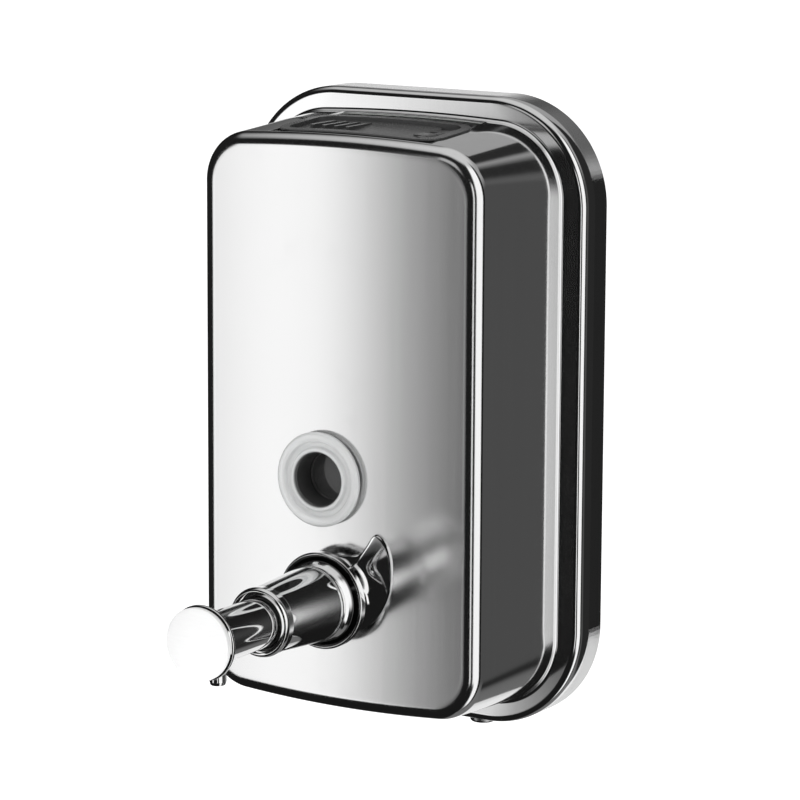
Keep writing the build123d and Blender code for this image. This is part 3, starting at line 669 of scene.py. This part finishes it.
def buildWindow():
    front = reachOf("window_lens")[1]
    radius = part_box("window_lens")[1].x / mm - windowAxis[0]
    seat = reachOf("window_gasket")[1]
    back = lens["paneReach"] - lens["pane"] - lens["tail"]
    corners = [
        (back, lens["shank"], 0.3),
        (seat, lens["shank"], 0.1),
        (seat, radius - 0.5, 0.3),
        (seat + 0.6, radius, 0.3),
        *[(front - drop, radius - step, rounding) for drop, step, rounding in lens["rim"]],
        *[(front - drop, lens["bore"] + step, rounding) for drop, step, rounding in lens["lip"]],
        (lens["paneReach"], lens["bore"] - 0.2, 0.5),
        (lens["paneReach"], 0),
        (lens["paneReach"] - lens["pane"], 0),
        (lens["paneReach"] - lens["pane"], lens["bore"], 0.3),
        (back, lens["bore"], 0.2),
    ]
    return turnedPiece("windowLens", corners, windowAxis, "window_lens", "housing")


buildWindow()


# radii that several pieces of the pump share
pump = {
    "shank": 8.5, "bead": 11.3, "barrelFront": 9.6,
    "bush": 8.8, "sleeve": 7.2, "sleeveBore": 6.5, "stem": 3.5,
}

collar = {
    "radius": 14.1, "nose": 4.2, "edge": 0.6,
    # drop behind the face, step in from the radius, rounding
    "face": [(0.45, 0.0, 0.3), (0.05, 0.5, 0.2), (0.1, 0.8, 0.12), (0.5, 1.0, 0.12)],
    # rise from the face, step in from the barrel's bead, rounding
    "slope": [(0.4, -0.5, 0.5), (1.7, 0.15, 0.5), (2.6, 0.7, 0.3)],
    "seat": 0.9,
}


def buildCollar():
    back, tip = reachOf("pump_collar")
    face = tip - collar["nose"]
    radius = collar["radius"]
    corners = [
        (back, pump["shank"], 0.1),
        (back, radius - collar["edge"], 0.3),
        (back + collar["edge"], radius, 0.35),
        *[(face - drop, radius - step, rounding) for drop, step, rounding in collar["face"]],
        *[(face + rise, pump["bead"] - step, rounding) for rise, step, rounding in collar["slope"]],
        (tip, pump["bead"] - collar["seat"], 0.2),
        (tip, pump["shank"], 0.1),
    ]
    piece = turnedPiece("lockingCollar", corners, pumpAxis, "pump_collar", "housing")
    # the collar gets the finish with the painted reflection band
    dress(piece, finishes["collar"])
    return piece


barrel = {
    "rear": 11.02, "beadLength": 1.0, "beadEnd": 1.15, "beadTaper": 0.1, "floor": 6.0, "clearance": 0.1,
}


def buildBarrel():
    start, end = reachOf("pump_barrel")
    hole = pump["shank"] + barrel["clearance"]
    corners = [
        (start, hole, 0.1),
        (start, pump["bead"] - barrel["beadTaper"], 0.25),
        (start + barrel["beadLength"], pump["bead"], 0.4),
        (start + barrel["beadEnd"], barrel["rear"], 0.1),
        (end, pump["barrelFront"], 0.1),
        (end, pump["bush"], 0.1),
        (start + barrel["floor"], pump["bush"], 0.1),
        (start + barrel["floor"], hole, 0.1),
    ]
    return turnedPiece("pumpBarrel", corners, pumpAxis, "pump_barrel", "housing")


endRing = {
    "radius": 10.0, "neck": 0.15, "dish": 0.35, "mouth": 8.0, "mouthDepth": 2.2,
    # drop behind the front, step in from the radius, rounding
    "face": [(1.2, 0.0, 0.8), (0.25, 0.45, 0.4), (0.0, 0.95, 0.25)],
}


def buildEndRing():
    start, end = reachOf("barrel_end_ring")
    neck = pump["barrelFront"] - endRing["neck"]
    corners = [
        (start, pump["bush"], 0.05),
        (start, neck, 0.1),
        (start + 0.25, neck, 0.08),
        (start + 0.3, endRing["radius"] - 0.1, 0.2),
        *[(end - drop, endRing["radius"] - step, rounding) for drop, step, rounding in endRing["face"]],
        (end - endRing["dish"], endRing["mouth"], 0.15),
        (end - endRing["mouthDepth"], endRing["mouth"], 0.1),
        (end - endRing["mouthDepth"], pump["bush"], 0.1),
    ]
    return turnedPiece("barrelEndRing", corners, pumpAxis, "barrel_end_ring", "housing")


bush = {"clearance": 0.05, "flare": 0.5}


def buildBush():
    start, end = reachOf("barrel_bush")
    inner = pump["sleeve"] + bush["clearance"]
    corners = [
        (start, inner, 0.1),
        (start, pump["bush"], 0.1),
        (end, pump["bush"], 0.1),
        (end, inner + bush["flare"], 0.3),
        (end - bush["flare"], inner, 0.2),
    ]
    return turnedPiece("guideBush", corners, pumpAxis, "barrel_bush", "housing")


sleeve = {"flareLength": 0.6, "flare": 0.45}


def buildSleeve():
    start, end = reachOf("plunger_sleeve")
    corners = [
        (start, pump["sleeveBore"], 0.1),
        (start, pump["sleeve"], 0.2),
        (end - sleeve["flareLength"], pump["sleeve"], 0.3),
        (end, pump["sleeve"] + sleeve["flare"], 0.2),
        (end, pump["sleeveBore"], 0.05),
    ]
    return turnedPiece("plungerShaft", corners, pumpAxis, "plunger_sleeve", "plunger")


button = {
    "radius": 10.6, "rim": 1.7, "rimEdge": 0.5, "stemDepth": 7.5,
    "cap": 10.3, "dome": 2.2, "groove": 0.75, "brow": 0.15, "domeInset": 0.45, "domeSteps": 14,
}


def buildButtonBase():
    start, end = reachOf("button_core")
    rim = end - button["rim"]
    corners = [
        (start, pump["stem"], 0.1),
        (start, pump["sleeveBore"], 0.3),
        (rim, pump["sleeveBore"], 0.05),
        (rim, button["radius"] - button["rimEdge"], 0.35),
        (rim + button["rimEdge"], button["radius"], 0.4),
        (end - 0.45, button["radius"], 0.4),
        (end, button["radius"] - 0.7, 0.2),
        (end, 0),
        (start + button["stemDepth"], 0),
        (start + button["stemDepth"], pump["stem"], 0.1),
    ]
    return turnedPiece("buttonBase", corners, pumpAxis, "button_core", "plunger")


def buildButtonCap():
    low, high = reachOf("button_cap")
    cap = button["cap"]
    brow = high - button["dome"]
    radius = (cap**2 + button["dome"] ** 2) / (2 * button["dome"])
    corners = [
        (low, 0),
        (low, cap - button["groove"], 0.1),
        (low + 0.35, cap - button["groove"], 0.08),
        (low + 0.45, cap - 0.1, 0.15),
        (brow - button["brow"], cap, 0.5),
    ]
    section = roundedSection(corners + [(brow + 0.35, cap - 0.6)])[:-1]
    for index in range(button["domeSteps"] + 1):
        lean = math.asin((cap - button["domeInset"]) / radius) * (1 - index / button["domeSteps"])
        section.append(Vector((high - radius + radius * math.cos(lean), radius * math.sin(lean))))
    points, faces = turnedMesh(section, pumpAxis, False)
    piece = addPiece("buttonCap", points, faces, "button_cap", "plunger")
    dress(piece, finishes["button"])
    evenNormals(piece)
    return piece


foot = {
    "sleeve": 10.8, "height": 5.0, "rim": 0.5, "hollow": 1.6, "steps": 14, "rings": 18,
    # outline of the flare seen from the front, as x and z from the pump's axis,
    # with the angle on the sleeve that each point grows from
    "outline": [
        (14.6, 19.8, 50), (16.6, 18.7, 44), (18.2, 16.3, 36), (19.2, 13.0, 26), (19.5, 9.0, 14),
        (19.3, 5.2, 3), (18.3, 1.4, -9), (16.4, -2.4, -22), (13.7, -5.7, -36), (10.2, -8.3, -52),
        (6.6, -9.9, -68), (2.0, -11.6, -84), (-3.0, -11.3, -105), (-8.3, -8.3, -135), (-11.7, 0.0, -180),
        (-8.3, 8.3, -225), (-4.2, 10.9, -249), (0.0, 11.9, -270), (4.0, 12.2, -286), (7.2, 12.9, -297),
        (9.6, 14.0, -303), (11.4, 16.4, -306), (13.0, 18.9, -309),
    ],
}


def smoothLoop(points, steps):
    # closed smooth curve through points
    found = []
    count = len(points)
    for index in range(count):
        p0, p1, p2, p3 = [Vector(points[(index + shift) % count]) for shift in (-1, 0, 1, 2)]
        for step in range(steps):
            t = step / steps
            found.append(0.5 * (2 * p1 + (p2 - p0) * t + (2 * p0 - 5 * p1 + 4 * p2 - p3) * t**2
                                + (3 * p1 - p0 - 3 * p2 + p3) * t**3))
    return found


def buildFoot():
    f = foot
    front = reachOf("cover")[1]
    halfWidth = cover["frontWidth"] / 2
    steps, rings = f["steps"], f["rings"]
    rim = smoothLoop([row[:2] for row in f["outline"]], steps)
    degrees = [row[2] for row in f["outline"]]
    points = []
    for index, edge in enumerate(rim):
        first, share = index // steps, index % steps / steps
        following = degrees[first + 1] if first + 1 < len(degrees) else degrees[0] - 360
        angle = math.radians(degrees[first] + (following - degrees[first]) * share)
        ray = Vector((math.cos(angle), math.sin(angle)))
        base = ray * f["sleeve"]
        length = (edge - base).length
        hole = ray * (pump["shank"] + 0.2)
        tip = front + f["height"]
        column = [(hole, front - 0.3), (hole, tip), (ray * (f["sleeve"] - 0.3), tip), (base, tip - 0.3)]
        waist = f["height"] - 0.8 - f["rim"]
        for ring in range(1, rings + 1):
            turn = ring / rings
            share = 1 - math.cos(turn * math.pi / 2)
            spot = base.lerp(edge, share)
            floor = bowReach(min(abs(spot.x), halfWidth), front, halfWidth, cover["bow"])
            column.append((spot, floor + f["rim"] + waist * (1 - turn) ** f["hollow"]))
        away = (edge - base).normalized() if length > 0.01 else ray
        floor = bowReach(abs(edge.x), front, halfWidth, cover["bow"])
        column.append((edge + away * 0.12, floor + 0.25))
        column.append((edge, floor))
        column.append((edge - away * 0.4, floor - 0.02))
        for spot, reach in column:
            points.append((spot.x, -reach, pumpAxis[1] + spot.y))
    faces = loopFaces(len(rim), len(points) // len(rim))
    return addPiece("flaredFoot", points, faces, "pump_foot", "housing")


spout = {"bore": 1.2, "lip": 0.25, "lipLength": 1.0, "turns": 64}


def buildSpout():
    low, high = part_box("spout")
    x, y = pumpAxis[0], (low.y + high.y) / 2 / mm
    radius = (high.x - low.x) / 2 / mm
    bottom, top = low.z / mm, high.z / mm
    section = roundedSection([
        (bottom, spout["bore"], 0.25),
        (bottom, radius - spout["lip"], 0.35),
        (bottom + spout["lipLength"], radius, 0.4),
        (top, radius, 0.1),
        (top, spout["bore"], 0.1),
    ])
    points = []
    turns = spout["turns"]
    for step in range(turns):
        angle = 2 * math.pi * step / turns
        for height, distance in section:
            points.append((x + distance * math.sin(angle), y + distance * math.cos(angle), height))
    faces = loopFaces(turns, len(section))
    piece = addPiece("spoutTube", points, faces, "spout", "plunger")
    evenNormals(piece)
    return piece


buildCollar()
buildBarrel()
buildEndRing()
buildBush()
buildSleeve()
buildButtonBase()
buildButtonCap()
buildFoot()
buildSpout()
print("window and pump built")


# the plain CAD pieces that show get softened edges
softEdges = {"hatch_frame": 0.18, "hatch_lid": 0.15, "wall_plate": 0.25, "hanger_strip": 0.25}
for node, width in softEdges.items():
    soften = nodes[node].modifiers.new("softEdges", "BEVEL")
    soften.width = width * mm
    soften.segments = 3
    soften.limit_method = "ANGLE"
    soften.angle_limit = math.radians(35)
    soften.harden_normals = True


studio = {
    "base": 0.16,
    "floorHeight": -0.60, "floorSize": 40.0,
    # azimuth low, high, softness; elevation low, high, softness; level
    # azimuth 0 is the front, + is the left, and a later card lies over an earlier one
    "cards": [
        ((-200, 200, 1), (13.5, 95, 2), 0.34),
        ((-200, 200, 1), (55, 95, 12), 0.62),
        ((125, 200, 8), (-40, 4, 5), 0.85),
        ((-210, -112, 4), (-32, 22, 12), 0.072),
        ((-215, -163, 3), (20, 46, 4), 0.022),
        ((120, 160, 4), (8, 12.8, 1), 0.11),
        ((-210, -143, 3), (-32, 33, 3), 0.022),
        ((-112, -94, 3), (-80, 60, 10), 0.010),
        ((-94, -48, 2), (-70, 55, 8), 1.0),
        ((-46, 22, 2), (-90, 55, 6), 0.010),
        ((42, 142, 4), (-90, 46, 8), 0.012),
        ((10, 60, 4), (13, 52, 4), 0.010),
        ((-60, 120, 6), (-95, -27, 4), 0.010),
        ((2, 26, 3), (14, 31, 3), 0.45),
        ((-31.5, -23.5, 1.0), (-24, 15, 2), 1.0),
    ],
    # name, place, size, power
    "lamps": [
        ("softFront", (-0.5, -1.6, 0.9), 1.0, 15.0),
        ("softTop", (0.6, -0.5, 1.6), 1.2, 9.0),
        ("softBack", (0.4, 1.5, 1.0), 1.2, 7.0),
    ],
    "key": {"azimuth": (19.5, 44), "elevation": (-27, 14), "soft": 1.5, "gain": 1.22,
            "shades": [(0.0, 0.02), (0.22, 0.08), (0.40, 0.30), (0.56, 0.94), (0.70, 0.93), (0.85, 0.80),
                       (1.0, 0.66)]},
}


def buildWorld():
    world = bpy.data.worlds.new("studioLight")
    world.use_nodes = True
    bpy.context.scene.world = world
    tree = world.node_tree
    background = tree.nodes["Background"]
    start = Wire(tree)
    direction = start.make("ShaderNodeTexCoord")
    x, y, z = direction.part(0), direction.part(1), direction.part(2)
    turn = 180 / math.pi
    azimuth = start.maths("ARCTAN2", x * -1, y * -1) * turn
    elevation = start.maths("ARCSINE", z) * turn
    level = studio["base"]
    for across, upward, brightness in studio["cards"]:
        mask = azimuth.window(*across) * elevation.window(*upward)
        level = mask * brightness + (1 - mask) * level
    key = studio["key"]
    low, high = key["azimuth"]
    stops = [(place, grey(shade)) for place, shade in key["shades"]]
    across = (azimuth - low) / (high - low)
    shade = start.make("ShaderNodeValToRGB", {"stops": stops}, {"Fac": across})
    mask = azimuth.window(low, high, key["soft"]) * elevation.window(*key["elevation"], key["soft"])
    level = mask * shade * key["gain"] + (1 - mask) * level
    tree.links.new(level.socket, background.inputs["Color"])
    background.inputs["Strength"].default_value = 1.0


def buildFloor():
    half = studio["floorSize"] / 2
    height = studio["floorHeight"]
    mesh = bpy.data.meshes.new("studioFloor")
    corners = [(-half, -half, height), (half, -half, height), (half, half, height), (-half, half, height)]
    mesh.from_pydata(corners, [], [(0, 1, 2, 3)])
    floor = bpy.data.objects.new("studioFloor", mesh)
    bpy.context.scene.collection.objects.link(floor)
    finish, shader, place = newFinish("paleFloor")
    feed(shader, {
        "Base Color": place.noise(0.8, 2.0).tint((0.95, 0.95, 0.95, 1), (0.98, 0.98, 0.98, 1)),
        "Roughness": 0.9,
        "Emission Color": (1, 1, 1, 1),
        "Emission Strength": 0.85,
    })
    dress(floor, finish)
    floor.visible_glossy = False
    floor.visible_transmission = False


def softLamp(name, place, size, power):
    data = bpy.data.lights.new(name, "AREA")
    data.shape = "DISK"
    data.size = size
    data.energy = power
    lamp = bpy.data.objects.new(name, data)
    bpy.context.scene.collection.objects.link(lamp)
    lamp.location = place
    lamp.rotation_euler = (-Vector(place)).to_track_quat("-Z", "Y").to_euler()
    lamp.visible_glossy = False
    lamp.visible_transmission = False
    return lamp


buildWorld()
buildFloor()
for lamp in studio["lamps"]:
    softLamp(*lamp)

viewpoint = {"place": (0.573207, -0.939657, 0.201978), "yaw": 32.13, "pitch": 10.61, "roll": 0.25,
             "lens": 169.3, "shift": (0.0183, 0.0150)}


def buildCamera():
    data = bpy.data.cameras.new("camera")
    data.lens = viewpoint["lens"]
    data.sensor_width = 36.0
    data.shift_x, data.shift_y = viewpoint["shift"]
    data.clip_start, data.clip_end = 0.05, 100.0
    camera = bpy.data.objects.new("camera", data)
    bpy.context.scene.collection.objects.link(camera)
    turn = Matrix.Rotation(math.radians(viewpoint["yaw"]), 4, "Z")
    tilt = Matrix.Rotation(math.radians(90 - viewpoint["pitch"]), 4, "X")
    roll = Matrix.Rotation(math.radians(viewpoint["roll"]), 4, "Z")
    camera.matrix_world = Matrix.Translation(viewpoint["place"]) @ turn @ tilt @ roll
    bpy.context.scene.camera = camera


buildCamera()
bpy.context.scene.view_settings.view_transform = "Standard"
bpy.context.scene.view_settings.look = "None"
print("studio, camera and light ready")
